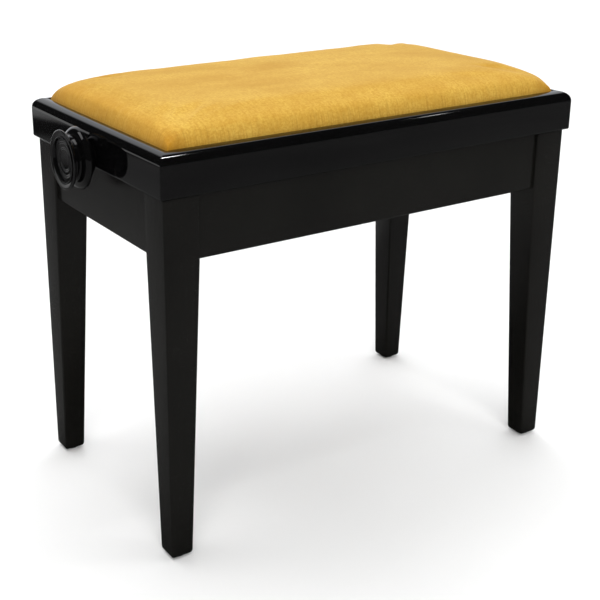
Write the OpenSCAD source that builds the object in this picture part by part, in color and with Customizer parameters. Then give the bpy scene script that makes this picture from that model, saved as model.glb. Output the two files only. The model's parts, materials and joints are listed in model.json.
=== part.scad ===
// Adjustable piano bench: a lacquered base on four tapered legs, a seat frame with a
// drop-in upholstered pad, and a screw-driven scissor lift worked by a knob at each end.
// Origin on the floor under the middle of the seat, +X along the length, -Y the front,
// +Z up. The seat is drawn at its lowest setting. Millimetres.

/* [Seat frame] */
// Length of the seat frame over its end walls
seat_l = 560; // [460:1:680]
// Width of the seat frame, front to back
seat_w = 320; // [266:1:390]
// Height of the frame's walls
frame_h = 46; // [40:1:60]
// Thickness of the frame's walls
frame_t = 15; // [13:0.5:22]
// Radius that rounds the frame's outer top edge
round_r = 12.5; // [8:0.5:12.5]
// Thickness of the board let into the frame under the pad
board_t = 9; // [6:0.5:12]
// Depth of the groove that holds that board
groove_d = 5; // [3:0.5:7]

/* [Base] */
// Height of the base's top above the floor
base_h = 411.5; // [340:0.5:500]
// How far the seat frame stands out past the base all round
overhang = 5; // [2:0.5:12]
// Air between the base and the lowered seat frame
rest_gap = 0.5; // [0.3:0.1:2]
// Side of the square leg at the top
leg_top = 41; // [33:0.5:48]
// Side of the square leg at the foot
leg_foot = 26; // [20:0.5:33]
// Height of the rails
rail_h = 70.5; // [57:0.5:84]
// Thickness of the rails
rail_t = 20; // [16:0.5:24]
// How far the rails stand back from the legs' outer faces
rail_setback = 4; // [1:0.5:8]
// Thickness of the tenons on the rails
tenon_t = 8; // [6:0.5:10]
// Length of the tenons
tenon_l = 16; // [12:0.5:18]
// Diameter of the glide under each foot
glide_d = 18; // [14:0.5:19]
// How far the glides hold the legs off the floor
glide_proud = 1.5; // [1:0.5:4]

/* [Pad] */
// Air between the pad and the frame
pad_gap = 1; // [0.6:0.1:2]
// Thickness of the pad's own board
pad_board_t = 8; // [6:0.5:12]
// Height of the pad's crown above its edge
crown = 30; // [15:0.5:45]
// Height of the pad's upright edge
pad_edge = 4; // [2:0.5:8]
// Thickness of the cover and its lining
cover_t = 1.5; // [1:0.1:3]

/* [Scissor lift] */
// Rise of the seat from its lowest to its highest setting
lift = 95; // [60:1:110]
// Distance from the base's ends to the arms' end pivots
arm_inset = 93; // [88:1:110]
// Width of the flat steel arms
arm_w = 24; // [20:0.5:28]
// Thickness of the arms
arm_t = 4; // [3:0.5:5]
// Air between the arms, and between the arms and the guides
arm_gap = 2; // [1.5:0.1:4]
// Diameter of the pivot rods
pivot_d = 10; // [8:0.5:12]
// Thickness of the steel of the guides and the bearing plates
steel_t = 3; // [2:0.5:4]
// Height of the lower guides
guide_h = 26; // [22:0.5:31]
// Height of the lower pivots above the rails' lower edge
pivot_rise = 17; // [13:0.5:19]
// Height of the spindle above the frame's lower edge
spindle_rise = 10.5; // [8.5:0.5:12.5]
// Outside diameter of the spindle's thread
spindle_d = 14; // [12:0.5:16]
// Diameter of the plain spindle ends
spindle_end_d = 10; // [8:0.5:12]
// Wall of the sleeves that run in the slots
journal_wall = 1; // [0.8:0.1:1.5]
// Length of the crosshead's body along the spindle
crosshead_l = 24; // [20:1:30]
// Outside diameter of the spindle bushes in the end walls
bush_d = 14; // [13:0.5:15]

/* [Knobs] */
// Diameter of the knobs
knob_d = 65; // [58:1:74]
// Length of the knobs
knob_l = 31; // [26:0.5:37]
// Thickness of the felt washer behind each knob
felt_t = 1.5; // [1:0.1:3]
// Depth of the waist turned into the knobs
knob_waist = 8; // [6:0.5:9.5]
// Diameter of the cap let into the knob's face
knob_cap_d = 47; // [42:0.5:48]

/* [Hidden] */
$fn = 64;

// Clearances
slip = 0.1;                 // each side of a joint, a rod or a screw in its hole
glue = 0.1;                 // round a tenon
washer_slack = 0.1;         // each face of a washer

// Base
base_l = seat_l - 2 * overhang;
base_w = seat_w - 2 * overhang;
rail_z = base_h - rail_h;                       // lower edge of the rails
leg_in_x = base_l / 2 - leg_top;                // inner faces of the legs
leg_in_y = base_w / 2 - leg_top;
rail_in_x = base_l / 2 - rail_setback - rail_t; // inner faces of the rails
rail_in_y = base_w / 2 - rail_setback - rail_t;
tenon_h = rail_h - 20;
tenon_z = rail_z + 10;
glide_t = 2 * glide_proud;

// Seat frame
frame_z = base_h + rest_gap;
rim_z = frame_z + frame_h;
hollow_l = seat_l - 2 * frame_t;                // inside the walls
hollow_w = seat_w - 2 * frame_t;
pad_z = rim_z - 12;                             // underside of the pad's board
board_z = pad_z - board_t;                      // underside of the seat board

// Pad
pad_l = hollow_l - 2 * pad_gap;
pad_w = hollow_w - 2 * pad_gap;
foam_z = pad_z + pad_board_t;
fold_t = cover_t + slip;                        // cover and its slack round the board

// Lift
journal_d = pivot_d + 2 * journal_wall;
low_z = rail_z + pivot_rise;                    // lower pivots
top_z = frame_z + spindle_rise;                 // spindle and upper pivots
arm_l = base_l - 2 * arm_inset;                 // between an arm's end pivots
arm_angle = asin((top_z - low_z) / arm_l);
arm_run = arm_l * cos(arm_angle);
fixed_x = -arm_run / 2;
slide_x = arm_run / 2;
raised_angle = asin((top_z - low_z + lift) / arm_l);
slide_travel = arm_run - arm_l * cos(raised_angle);
mid_x = 0;
mid_z = (low_z + top_z) / 2;
guide_y = leg_in_y - 9;                         // outer face of the guides
guide_in = guide_y - steel_t;
arm_b_y = guide_in - arm_gap - arm_t;           // inner face of the outer arms
arm_a_y = arm_b_y - arm_gap - arm_t;            // inner face of the inner arms
tube_d = pivot_d + 6;
clip_t = 1.2;
clip_d = pivot_d + 6;
rod_end = guide_y + 3.5;                        // half length of the rods past the guides
head_h = 5;

// Upper guides and bearing plates
upper_guide_l = arm_run + arm_w + 20;
flange_w = 22;
plate_x = upper_guide_l / 2 + 6;                // inner face of a bearing plate
plate_w = 2 * guide_in - 20;
upper_web_z = top_z - 11.5;
collar_t = 8;
thread_half = plate_x - collar_t - 2;

// Screws
screw_d = 4;
screw_head_d = 8;
screw_head_h = 2.4;
tab_w = 22;
block_z = rail_z + rail_h - 34;
block_h = 22;
// corner block, from the rails' inner corner: it meets the leg's inner edge
block_near = rail_in_x - leg_in_x + rail_in_y - leg_in_y;
block_far = block_near + 20;
bolt_d = 6;

// ---------- helpers ----------

// A flat shape drawn in the XZ plane, from y0 to y0 + t
module plate_xz(y0, t) translate([0, y0 + t, 0]) rotate([90, 0, 0]) linear_extrude(t) children();

// A flat shape drawn in the YZ plane, from x0 to x0 + t
module plate_yz(x0, t) translate([x0, 0, 0]) rotate([90, 0, 90]) linear_extrude(t) children();

// A round bar along Y from y0 to y1
module bar_y(x, z, y0, y1, d) translate([x, y0, z]) rotate([-90, 0, 0]) cylinder(h = y1 - y0, d = d);

// A round bar along X from x0 to x1, on the spindle's line
module bar_x(x0, x1, d) translate([x0, 0, top_z]) rotate([0, 90, 0]) cylinder(h = x1 - x0, d = d);

// The same thing on the front and on the rear side
module both_sides() for (s = [-1, 1]) scale([1, s, 1]) children();

// One copy for each corner, drawn for the +X +Y corner
module four_corners()
    for (mx = [0, 1], my = [0, 1]) mirror([mx, 0, 0]) mirror([0, my, 0]) children();

// A ring along Y, from y0 to y1
module ring_y(x, z, y0, y1, outer, bore) difference() {
    bar_y(x, z, y0, y1, outer);
    bar_y(x, z, y0 - 1, y1 + 1, bore);
}

// A pan-head wood screw that points up, with its head's underside at z = 0
module wood_screw(l) {
    translate([0, 0, -screw_head_h]) cylinder(h = screw_head_h, d = screw_head_d);
    cylinder(h = l, d = screw_d);
}

// ---------- base ----------

// Square shank down to the rails' lower edge, then a taper on the two inner faces.
// Drawn for the +X +Y corner.
module leg_blank() {
    ox = base_l / 2;
    oy = base_w / 2;
    translate([leg_in_x, leg_in_y, rail_z]) cube([leg_top, leg_top, rail_h]);
    polyhedron(
        points = [
            [ox, oy, glide_proud], [ox - leg_foot, oy, glide_proud],
            [ox - leg_foot, oy - leg_foot, glide_proud], [ox, oy - leg_foot, glide_proud],
            [ox, oy, rail_z], [leg_in_x, oy, rail_z],
            [leg_in_x, leg_in_y, rail_z], [ox, leg_in_y, rail_z]],
        faces = [[0, 1, 2, 3], [7, 6, 5, 4], [0, 4, 5, 1], [1, 5, 6, 2], [2, 6, 7, 3], [3, 7, 4, 0]]);
}

module leg(mx, my) color("black") mirror([mx, 0, 0]) mirror([0, my, 0]) difference() {
    leg_blank();
    mortises();
    translate([leg_in_x, leg_in_y, block_z + block_h / 2]) bolt_line(-20, 24, bolt_d + 2 * slip);
    translate([base_l / 2 - leg_foot / 2, base_w / 2 - leg_foot / 2, 0])
        cylinder(h = glide_t + slip, d = glide_d + 2 * slip);
}

// The sockets for both tenons of a corner
module mortises() {
    tenon_off = rail_setback + rail_t / 2 + tenon_t / 2 + glue;
    sock = tenon_t + 2 * glue;
    translate([leg_in_x - 1, base_w / 2 - tenon_off, tenon_z - glue])
        cube([tenon_l + 1 + glue, sock, tenon_h + 2 * glue]);
    translate([base_l / 2 - tenon_off, leg_in_y - 1, tenon_z - glue])
        cube([sock, tenon_l + 1 + glue, tenon_h + 2 * glue]);
}

// A rail lying along X with its outer face at y = 0 and its body behind it, half its
// length each side of the middle, with a tenon on each end and eased lower edges
module rail_blank(half) {
    ease = 2.5;
    translate([-half, 0, 0]) rotate([90, 0, 90]) linear_extrude(2 * half) {
        translate([0, ease]) square([rail_t, rail_h - ease]);
        translate([ease, 0]) square([rail_t - ease, ease]);
        intersection() {
            square(ease);
            translate([ease, ease]) circle(ease);
        }
    }
    for (s = [-1, 1])
        translate([s > 0 ? half : -half - tenon_l, (rail_t - tenon_t) / 2, tenon_z - rail_z])
            cube([tenon_l, tenon_t, tenon_h]);
}

module rail_long(my) color("black") mirror([0, my, 0])
    translate([0, -base_w / 2 + rail_setback, rail_z]) rail_blank(leg_in_x);

module rail_short(mx) color("black") difference() {
    mirror([mx, 0, 0]) translate([-base_l / 2 + rail_setback, 0, rail_z])
        rotate([0, 0, -90]) rail_blank(leg_in_y);
    lower_screw_sites() translate([0, 0, -1]) cylinder(h = 16, d = screw_d + 2 * slip);
}

// A diagonal block screwed across each inner corner
module corner_block() difference() {
    translate([rail_in_x, rail_in_y, block_z]) rotate([0, 0, 180]) linear_extrude(block_h)
        polygon([[0, block_near], [block_near, 0], [block_far, 0], [0, block_far]]);
    translate([leg_in_x, leg_in_y, block_z + block_h / 2]) bolt_line(-60, 24, bolt_d + 2 * slip);
}

module corner_blocks() color("BurlyWood") four_corners() corner_block();

// A round bar on the corner's diagonal, measured outward from the leg's inner edge
module bolt_line(from, to, d)
    rotate([0, 0, 45]) translate([from, 0, 0]) rotate([0, 90, 0]) cylinder(h = to - from, d = d);

block_face = (rail_in_x - leg_in_x + rail_in_y - leg_in_y - block_far) / sqrt(2);

module leg_bolts() color("silver") four_corners()
    translate([leg_in_x, leg_in_y, block_z + block_h / 2])
        bolt_line(block_face - 10, 22, bolt_d);

// Washer and hexagon nut on the inner face of each block
module leg_nuts() color("silver") four_corners()
    translate([leg_in_x, leg_in_y, block_z + block_h / 2]) difference() {
        union() {
            bolt_line(block_face - 1.5, block_face, 14);
            rotate([0, 0, 45]) translate([block_face - 6.5, 0, 0]) rotate([0, 90, 0])
                cylinder(h = 5, d = 11.5, $fn = 6);
        }
        bolt_line(block_face - 8, block_face + 1, bolt_d + 2 * slip);
    }

module foot_glides() color("DimGray") four_corners()
    translate([base_l / 2 - leg_foot / 2, base_w / 2 - leg_foot / 2, 0])
        cylinder(h = glide_t, d = glide_d);

// ---------- lower guides ----------

// A slot of the given height whose middle runs from x0 to x1
module slot_shape(x0, x1, z, h) {
    for (x = [x0, x1]) translate([x, z]) circle(d = h);
    translate([x0, z - h / 2]) square([x1 - x0, h]);
}

module lower_guide(s) color("silver") difference() {
    union() {
        scale([1, s, 1]) plate_xz(guide_in, steel_t)
            translate([-rail_in_x, rail_z + 2]) square([2 * rail_in_x, guide_h]);
        for (e = [-1, 1])
            translate([e > 0 ? rail_in_x - steel_t : -rail_in_x,
                s > 0 ? guide_in - tab_w : -guide_in, rail_z + 2])
                cube([steel_t, tab_w, guide_h]);
    }
    scale([1, s, 1]) plate_xz(guide_in - 1, steel_t + 2) {
        translate([fixed_x, low_z]) circle(d = pivot_d + 2 * slip);
        slot_shape(slide_x - slide_travel - 2, slide_x + 2, low_z, journal_d + 2 * slip);
    }
    lower_screw_sites() translate([0, 0, -5]) cylinder(h = 10, d = screw_d + 2 * slip);
}

// Children drawn pointing up are turned to point out through each tab into the end rail
module lower_screw_sites()
    for (e = [-1, 1], s = [-1, 1], z = [7, guide_h - 7])
        translate([e * (rail_in_x - steel_t), s * (guide_in - tab_w / 2), rail_z + 2 + z])
            rotate([0, e * 90, 0]) children();

module lower_guide_screws() color("silver") lower_screw_sites() wood_screw(steel_t + 12);

module lower_pivot_rod() color("silver") bar_y(fixed_x, low_z, -rod_end, rod_end, pivot_d);

module rod_clips(x, z, y) both_sides()
    ring_y(x, z, y, y + clip_t, clip_d, pivot_d + 2 * slip);

module lower_pivot_clips() color("dimgray") rod_clips(fixed_x, low_z, guide_y + slip);

module lower_pivot_spacers() color("silver") both_sides()
    ring_y(fixed_x, low_z, arm_a_y + arm_t + 2 * washer_slack, guide_in - slip,
        tube_d, pivot_d + 2 * slip);

// ---------- arms ----------

// One arm along local x from its lower pivot, in the XZ plane
module arm_blank(y0, low_bore, top_bore) plate_xz(y0, arm_t) difference() {
    union() {
        for (x = [0, arm_l]) translate([x, 0]) circle(d = arm_w);
        translate([0, -arm_w / 2]) square([arm_l, arm_w]);
    }
    circle(d = low_bore + 2 * slip);
    translate([arm_l / 2, 0]) circle(d = pivot_d + 2 * slip);
    translate([arm_l, 0]) circle(d = top_bore + 2 * slip);
}

module arm_a(s) color("slategray") scale([1, s, 1])
    translate([fixed_x, 0, low_z]) rotate([0, -arm_angle, 0])
        arm_blank(arm_a_y, pivot_d, journal_d);

module arm_b(s) color("lightslategray") scale([1, s, 1])
    translate([slide_x, 0, low_z]) rotate([0, 180 + arm_angle, 0])
        arm_blank(arm_b_y, pivot_d, pivot_d);

// Spacer tubes that tie the inner arms together
module arm_tube(x, z) color("silver") ring_y(x, z, -arm_a_y, arm_a_y, tube_d, pivot_d + 2 * slip);

module centre_rod() color("silver")
    bar_y(mid_x, mid_z, -arm_b_y - arm_t - 3.5, arm_b_y + arm_t + 3.5, pivot_d);

module centre_washers() color("silver") both_sides()
    ring_y(mid_x, mid_z, arm_a_y + arm_t, arm_b_y - washer_slack, tube_d + 4, pivot_d + 2 * slip);

module centre_clips() color("dimgray") rod_clips(mid_x, mid_z, arm_b_y + arm_t + slip);

module slider_rod() color("silver") bar_y(slide_x, low_z, -rod_end, rod_end, pivot_d);

module slider_bushes() color("ivory") both_sides() difference() {
    union() {
        bar_y(slide_x, low_z, guide_in - arm_gap, guide_y + 0.6, journal_d);
        bar_y(slide_x, low_z, guide_in - arm_gap, guide_in - slip, tube_d + 3);
    }
    bar_y(slide_x, low_z, guide_in - arm_gap - 1, guide_y + 2, pivot_d + 2 * slip);
}

module slider_clips() color("dimgray") rod_clips(slide_x, low_z, guide_y + 0.6);

// ---------- crosshead ----------

crosshead_half = arm_a_y - 3;

module crosshead() color("silver") difference() {
    union() {
        translate([slide_x - crosshead_l / 2, -crosshead_half, top_z - 10])
            cube([crosshead_l, 2 * crosshead_half, 20]);
        bar_y(slide_x, top_z, -rod_end, rod_end, journal_d);
    }
    bar_x(slide_x - crosshead_l, slide_x + crosshead_l, spindle_d + 2 * slip);
}

module crosshead_spacers() color("silver") both_sides()
    ring_y(slide_x, top_z, arm_a_y + arm_t + 2 * washer_slack, guide_in - 2 * washer_slack,
        journal_d + 5, journal_d + 2 * slip);

module crosshead_clips() color("dimgray") both_sides()
    ring_y(slide_x, top_z, guide_y + 2 * washer_slack, guide_y + 2 * washer_slack + clip_t,
        journal_d + 5, journal_d + 2 * slip);

// ---------- seat frame ----------

// Section of a wall, with the outer face at x = 0 and the wall behind it
module wall_section() difference() {
    intersection() {
        square([frame_t, frame_h]);
        union() {
            square([frame_t, frame_h - round_r]);
            translate([round_r, frame_h - round_r]) circle(round_r);
            translate([round_r, 0]) square([frame_t, frame_h]);
        }
    }
    translate([frame_t - groove_d, board_z - frame_z]) square([groove_d + 1, board_t]);
}

// A wall along X with mitred ends, its outer face at y = -depth / 2
module wall(length, depth) intersection() {
    translate([-length / 2, -depth / 2, frame_z]) rotate([90, 0, 90])
        linear_extrude(length) wall_section();
    translate([0, 0, frame_z - 1]) linear_extrude(frame_h + 2)
        polygon([[-length / 2, -depth / 2], [length / 2, -depth / 2],
            [length / 2 - frame_t, frame_t - depth / 2],
            [frame_t - length / 2, frame_t - depth / 2]]);
}

module frame_long(my) color("black") mirror([0, my, 0]) wall(seat_l, seat_w);

module frame_short(mx) color("black") difference() {
    mirror([mx, 0, 0]) rotate([0, 0, -90]) wall(seat_w, seat_l);
    bar_x(-seat_l, seat_l, bush_d + 2 * slip);
}

module seat_board() color("BurlyWood") difference() {
    translate([-hollow_l / 2 - groove_d + slip, -hollow_w / 2 - groove_d + slip, board_z])
        cube([hollow_l + 2 * groove_d - 2 * slip, hollow_w + 2 * groove_d - 2 * slip, board_t]);
    upper_screw_sites() screw_hole(steel_t + board_t);
    plate_screw_sites() screw_hole(steel_t + board_t);
    pad_screw_sites() screw_hole(board_t + 2);
}

module screw_hole(l) translate([0, 0, -1]) cylinder(h = l, d = screw_d + 2 * slip);

// ---------- upper guides, on the underside of the seat board ----------

upper_guide_mid = 0;

module upper_guide(s) color("silver") scale([1, s, 1]) difference() {
    union() {
        plate_xz(guide_in, steel_t)
            translate([upper_guide_mid - upper_guide_l / 2, upper_web_z])
                square([upper_guide_l, board_z - upper_web_z]);
        translate([upper_guide_mid - upper_guide_l / 2, guide_in, board_z - steel_t])
            cube([upper_guide_l, flange_w, steel_t]);
    }
    plate_xz(guide_in - 1, steel_t + 2) {
        translate([fixed_x, top_z]) circle(d = pivot_d + 2 * slip);
        slot_shape(slide_x - slide_travel - 2, slide_x + 2, top_z, journal_d + 2 * slip);
    }
    guide_screw_row() screw_hole(2 * steel_t + 2);
}

// Screws up through the flange, drawn for the rear side
module guide_screw_row() for (x = [-1.5 : 1 : 1.5])
    translate([x * (upper_guide_l - 40) / 3, guide_y + (flange_w - steel_t) / 2 + 1, board_z - steel_t])
        children();

module upper_screw_sites() both_sides() guide_screw_row() children();

module upper_guide_screws() color("silver") upper_screw_sites() wood_screw(steel_t + board_t - 1.5);

// Shoulder bolts on which the outer arms' upper ends turn
module upper_pivot_bolts() color("silver") both_sides() {
    bar_y(fixed_x, top_z, arm_b_y - 9, guide_y + slip, pivot_d);
    bar_y(fixed_x, top_z, guide_y + slip, guide_y + slip + head_h, pivot_d + 6);
}

module upper_pivot_nuts() color("silver") both_sides() {
    difference() {
        translate([fixed_x, arm_b_y - 8, top_z]) rotate([-90, 0, 0])
            cylinder(h = 7.8, d = 18, $fn = 6);
        bar_y(fixed_x, top_z, arm_b_y - 10, arm_b_y + 1, pivot_d + 2 * slip);
    }
    ring_y(fixed_x, top_z, arm_b_y + arm_t + washer_slack, guide_in - washer_slack,
        tube_d + 2, pivot_d + 2 * slip);
}

// A plate across the frame that carries one end of the spindle
module bearing_plate(mx) color("silver") mirror([mx, 0, 0]) difference() {
    union() {
        translate([plate_x, -plate_w / 2, upper_web_z])
            cube([steel_t, plate_w, board_z - upper_web_z]);
        translate([plate_x, -plate_w / 2, board_z - steel_t])
            cube([flange_w, plate_w, steel_t]);
    }
    bar_x(plate_x - 1, plate_x + steel_t + 1, spindle_end_d + 2 * slip);
    plate_screw_row() screw_hole(2 * steel_t + 2);
}

module plate_screw_row() for (y = [-1, 1])
    translate([plate_x + flange_w / 2 + 1.5, y * (plate_w / 2 - 16), board_z - steel_t]) children();

module plate_screw_sites() for (mx = [0, 1]) mirror([mx, 0, 0]) plate_screw_row() children();

module bearing_plate_screws() color("silver")
    plate_screw_sites() wood_screw(steel_t + board_t - 1.5);

// Flanged bushes in the end walls
module spindle_bushes() color("goldenrod") for (mx = [0, 1]) mirror([mx, 0, 0]) difference() {
    union() {
        bar_x(seat_l / 2 - frame_t - 1.5, seat_l / 2, bush_d);
        bar_x(seat_l / 2 - frame_t - 1.5, seat_l / 2 - frame_t, bush_d + 6);
    }
    bar_x(seat_l / 2 - frame_t - 3, seat_l / 2 + 1, spindle_end_d + 2 * slip);
}

// ---------- pad ----------

// Height of the crowned top over its edge: level along the middle, falling
// away in a smooth shoulder towards all four sides
function shoulder(u, k) = 1 - pow(abs(u), k);
function crown_z(u, v, h) = h * pow(max(0, shoulder(u, 8) * shoulder(v, 5)), 0.32);

dome_nx = 20;
dome_ny = 14;

// Sample points gather towards the sides, where the shoulder is
function spread(i, n) = sin(90 * (2 * i / n - 1));

// A crowned block: half sizes hx and hy, underside at z0, edge at z1, crown h above it
module crowned_block(hx, hy, z0, z1, h) {
    row = dome_ny + 1;
    count = (dome_nx + 1) * row;
    top = [for (i = [0 : dome_nx], j = [0 : dome_ny])
        let (u = spread(i, dome_nx), v = spread(j, dome_ny))
            [hx * u, hy * v, z1 + crown_z(u, v, h)]];
    bottom = [for (p = top) [p.x, p.y, z0]];
    skin = [for (i = [0 : dome_nx - 1], j = [0 : dome_ny - 1])
        let (a = i * row + j) each [[a, a + row + 1, a + row], [a, a + 1, a + row + 1]]];
    floor_skin = [for (f = skin) [f[0] + count, f[2] + count, f[1] + count]];
    rim = concat(
        [for (i = [0 : dome_nx]) i * row],
        [for (j = [1 : dome_ny]) dome_nx * row + j],
        [for (i = [dome_nx - 1 : -1 : 0]) i * row + dome_ny],
        [for (j = [dome_ny - 1 : -1 : 1]) j]);
    n = len(rim);
    sides = [for (k = [0 : n - 1])
        let (a = rim[k], b = rim[(k + 1) % n]) each [[a, b, b + count], [a, b + count, a + count]]];
    polyhedron(points = concat(top, bottom), faces = concat(skin, floor_skin, sides));
}

module pad_board() color("BurlyWood") difference() {
    translate([-pad_l / 2 + fold_t, -pad_w / 2 + fold_t, pad_z])
        cube([pad_l - 2 * fold_t, pad_w - 2 * fold_t, pad_board_t]);
    pad_screw_sites() cylinder(h = board_t + pad_board_t - 1.5, d = screw_d + 2 * slip);
}

module pad_foam() color("Khaki")
    crowned_block(pad_l / 2 - fold_t, pad_w / 2 - fold_t, foam_z, foam_z + pad_edge,
        crown - cover_t);

module pad_cover() color("goldenrod") difference() {
    crowned_block(pad_l / 2, pad_w / 2, pad_z, foam_z + pad_edge + cover_t, crown);
    crowned_block(pad_l / 2 - cover_t, pad_w / 2 - cover_t, pad_z - 1,
        foam_z + pad_edge + slip, crown - cover_t + slip);
}

module pad_screw_sites() for (sx = [-1, 1], sy = [-1, 1])
    translate([sx * (hollow_l / 2 - 16), sy * (hollow_w / 2 - 12), board_z]) children();

module pad_screws() color("silver") pad_screw_sites() wood_screw(board_t + pad_board_t - 2.5);

// ---------- spindle and knobs ----------

knob_back = seat_l / 2 + felt_t + 2 * slip;     // the knob's back, from the middle
knob_bore = knob_l - 9;

module spindle() color("silver") {
    bar_x(-thread_half, thread_half, spindle_d);
    for (mx = [0, 1]) mirror([mx, 0, 0]) bar_x(thread_half, knob_back + knob_bore - 1, spindle_end_d);
}

module thrust_collars() color("silver") for (mx = [0, 1]) mirror([mx, 0, 0]) difference() {
    bar_x(plate_x - collar_t - slip, plate_x - slip, spindle_end_d + 12);
    bar_x(plate_x - collar_t - 1, plate_x + 1, spindle_end_d + 2 * slip);
}

// Radius and distance from the back: rounded back flange, waist, rounded front disc
module knob_half() difference() {
    union() {
        square([knob_d / 2 - knob_waist, knob_l]);
        knob_bead(knob_l - 23, 14, 4);
        knob_bead(knob_l - 4, 4, 1.8);
    }
    square([(spindle_end_d + 2 * slip) / 2, knob_bore]);
    translate([0, knob_l - 3]) square([knob_cap_d / 2 + slip, 4]);
}

// A round-edged band at height z, reaching the knob's full radius
module knob_bead(z, h, r) intersection() {
    translate([0, z]) square([knob_d / 2, h]);
    union() {
        translate([0, z]) square([knob_d / 2 - r, h]);
        translate([0, z + r]) square([knob_d / 2, h - 2 * r]);
        for (e = [r, h - r]) translate([knob_d / 2 - r, z + e]) circle(r);
    }
}

module on_spindle_end(mx) mirror([mx, 0, 0])
    translate([knob_back, 0, top_z]) rotate([0, 90, 0]) children();

module knob(mx) color("black") on_spindle_end(mx) rotate_extrude() knob_half();

module knob_cap(mx) color("black") on_spindle_end(mx)
    translate([0, 0, knob_l - 3 + slip]) cylinder(h = 2, d = knob_cap_d);

module knob_felts() color("DimGray") for (mx = [0, 1]) mirror([mx, 0, 0]) difference() {
    bar_x(seat_l / 2 + slip, seat_l / 2 + slip + felt_t, 26);
    bar_x(seat_l / 2 - 1, seat_l / 2 + felt_t + 1, spindle_end_d + 2 * slip);
}

// ---------- nodes ----------

leg(1, 1);  // leg_front_left
leg(0, 1);  // leg_front_right
leg(1, 0);  // leg_rear_left
leg(0, 0);  // leg_rear_right
rail_long(0);  // rail_front
rail_long(1);  // rail_rear
rail_short(0);  // rail_left
rail_short(1);  // rail_right
corner_blocks();
leg_bolts();
leg_nuts();
foot_glides();
lower_guide(-1);  // lower_guide_front
lower_guide(1);  // lower_guide_rear
lower_guide_screws();
lower_pivot_rod();
lower_pivot_clips();
lower_pivot_spacers();
arm_a(-1);  // arm_a_front
arm_a(1);  // arm_a_rear
arm_tube(fixed_x, low_z);  // lower_tube
centre_rod();
arm_tube(mid_x, mid_z);  // centre_tube
centre_washers();
centre_clips();
arm_b(-1);  // arm_b_front
arm_b(1);  // arm_b_rear
slider_rod();
slider_bushes();
slider_clips();
crosshead();
crosshead_spacers();
crosshead_clips();
frame_long(0);  // frame_front
frame_long(1);  // frame_rear
frame_short(0);  // frame_left
frame_short(1);  // frame_right
seat_board();
upper_guide(-1);  // upper_guide_front
upper_guide(1);  // upper_guide_rear
upper_guide_screws();
upper_pivot_bolts();
upper_pivot_nuts();
bearing_plate(1);  // bearing_plate_left
bearing_plate(0);  // bearing_plate_right
bearing_plate_screws();
spindle_bushes();
pad_board();
pad_foam();
pad_cover();
pad_screws();
spindle();
thrust_collars();
knob(1);  // knob_left
knob(0);  // knob_right
knob_cap(1);  // knob_cap_left
knob_cap(0);  // knob_cap_right
knob_felts();
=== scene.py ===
# %% [markdown]
# # A piano bench in black lacquer and gold velvet
#
# The bench has three parts you can touch: a base of four tapered legs and four rails,
# a seat frame that rises and falls above it, and an upholstered pad let into that frame.
# Inside are a spindle and a scissor of steel arms. The engineering model gives every
# piece its place; this file gives them their finished surfaces, finishes and light.

import json

import bpy
import numpy as np
from mathutils import Matrix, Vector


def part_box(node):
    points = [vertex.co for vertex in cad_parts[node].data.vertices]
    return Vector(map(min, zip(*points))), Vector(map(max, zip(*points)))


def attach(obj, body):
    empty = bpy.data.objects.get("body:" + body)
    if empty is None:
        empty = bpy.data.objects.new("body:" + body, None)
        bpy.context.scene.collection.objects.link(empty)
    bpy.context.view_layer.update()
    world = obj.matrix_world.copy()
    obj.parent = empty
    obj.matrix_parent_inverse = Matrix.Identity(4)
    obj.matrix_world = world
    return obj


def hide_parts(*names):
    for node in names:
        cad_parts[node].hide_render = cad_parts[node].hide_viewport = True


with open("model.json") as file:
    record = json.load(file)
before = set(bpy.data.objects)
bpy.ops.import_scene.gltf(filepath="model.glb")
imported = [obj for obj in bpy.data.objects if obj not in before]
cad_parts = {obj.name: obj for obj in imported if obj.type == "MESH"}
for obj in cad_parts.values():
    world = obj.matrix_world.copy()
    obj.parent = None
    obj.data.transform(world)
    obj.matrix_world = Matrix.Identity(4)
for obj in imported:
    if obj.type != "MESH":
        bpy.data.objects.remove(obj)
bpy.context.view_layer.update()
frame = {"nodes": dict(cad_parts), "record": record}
nodes = frame["nodes"]
MM = 0.001
print("CAD nodes:", len(nodes))

# %% [markdown]
# ## Making a surface from arrays
#
# Every new piece is a grid of points: one direction of the grid runs round a section,
# the other along the piece. Working the points out as whole arrays is fast and exact,
# and a grid turns into four-sided faces without any thought about which point is which.

# %% A mesh from a grid of points
def add_object(name, points, faces, smooth_below=32):
    """An object from an array of points and a list of faces. Edges that turn by less
    than smooth_below degrees are shaded smooth, the rest stay crisp."""
    mesh = bpy.data.meshes.new(name)
    mesh.from_pydata(points.tolist(), [], faces)
    mesh.validate()
    mesh.shade_smooth()
    mesh.set_sharp_from_angle(angle=np.radians(smooth_below))
    obj = bpy.data.objects.new(name, mesh)
    bpy.context.scene.collection.objects.link(obj)
    return obj


def loop_faces(rows, columns):
    """Quads of a tube: each row is a closed ring of points, joined to the next row."""
    i, j = np.meshgrid(np.arange(rows - 1), np.arange(columns), indexing="ij")
    k = (j + 1) % columns
    this_ring, next_ring = i * columns, (i + 1) * columns
    quads = np.stack([this_ring + j, this_ring + k, next_ring + k, next_ring + j], -1)
    return quads.reshape(-1, 4).tolist()


def turn_outwards(obj):
    """Turns every face outwards: the signed volume, a sum of each corner dotted with the
    cross product of the next two, is positive when they already are."""
    mesh = obj.data
    mesh.calc_loop_triangles()
    co = np.zeros(len(mesh.vertices) * 3)
    mesh.vertices.foreach_get("co", co)
    tri = np.zeros(len(mesh.loop_triangles) * 3, int)
    mesh.loop_triangles.foreach_get("vertices", tri)
    a, b, c = co.reshape(-1, 3)[tri.reshape(-1, 3)].transpose(1, 0, 2)
    if (a * np.cross(b, c)).sum() < 0:
        mesh.flip_normals()
    return obj


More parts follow.
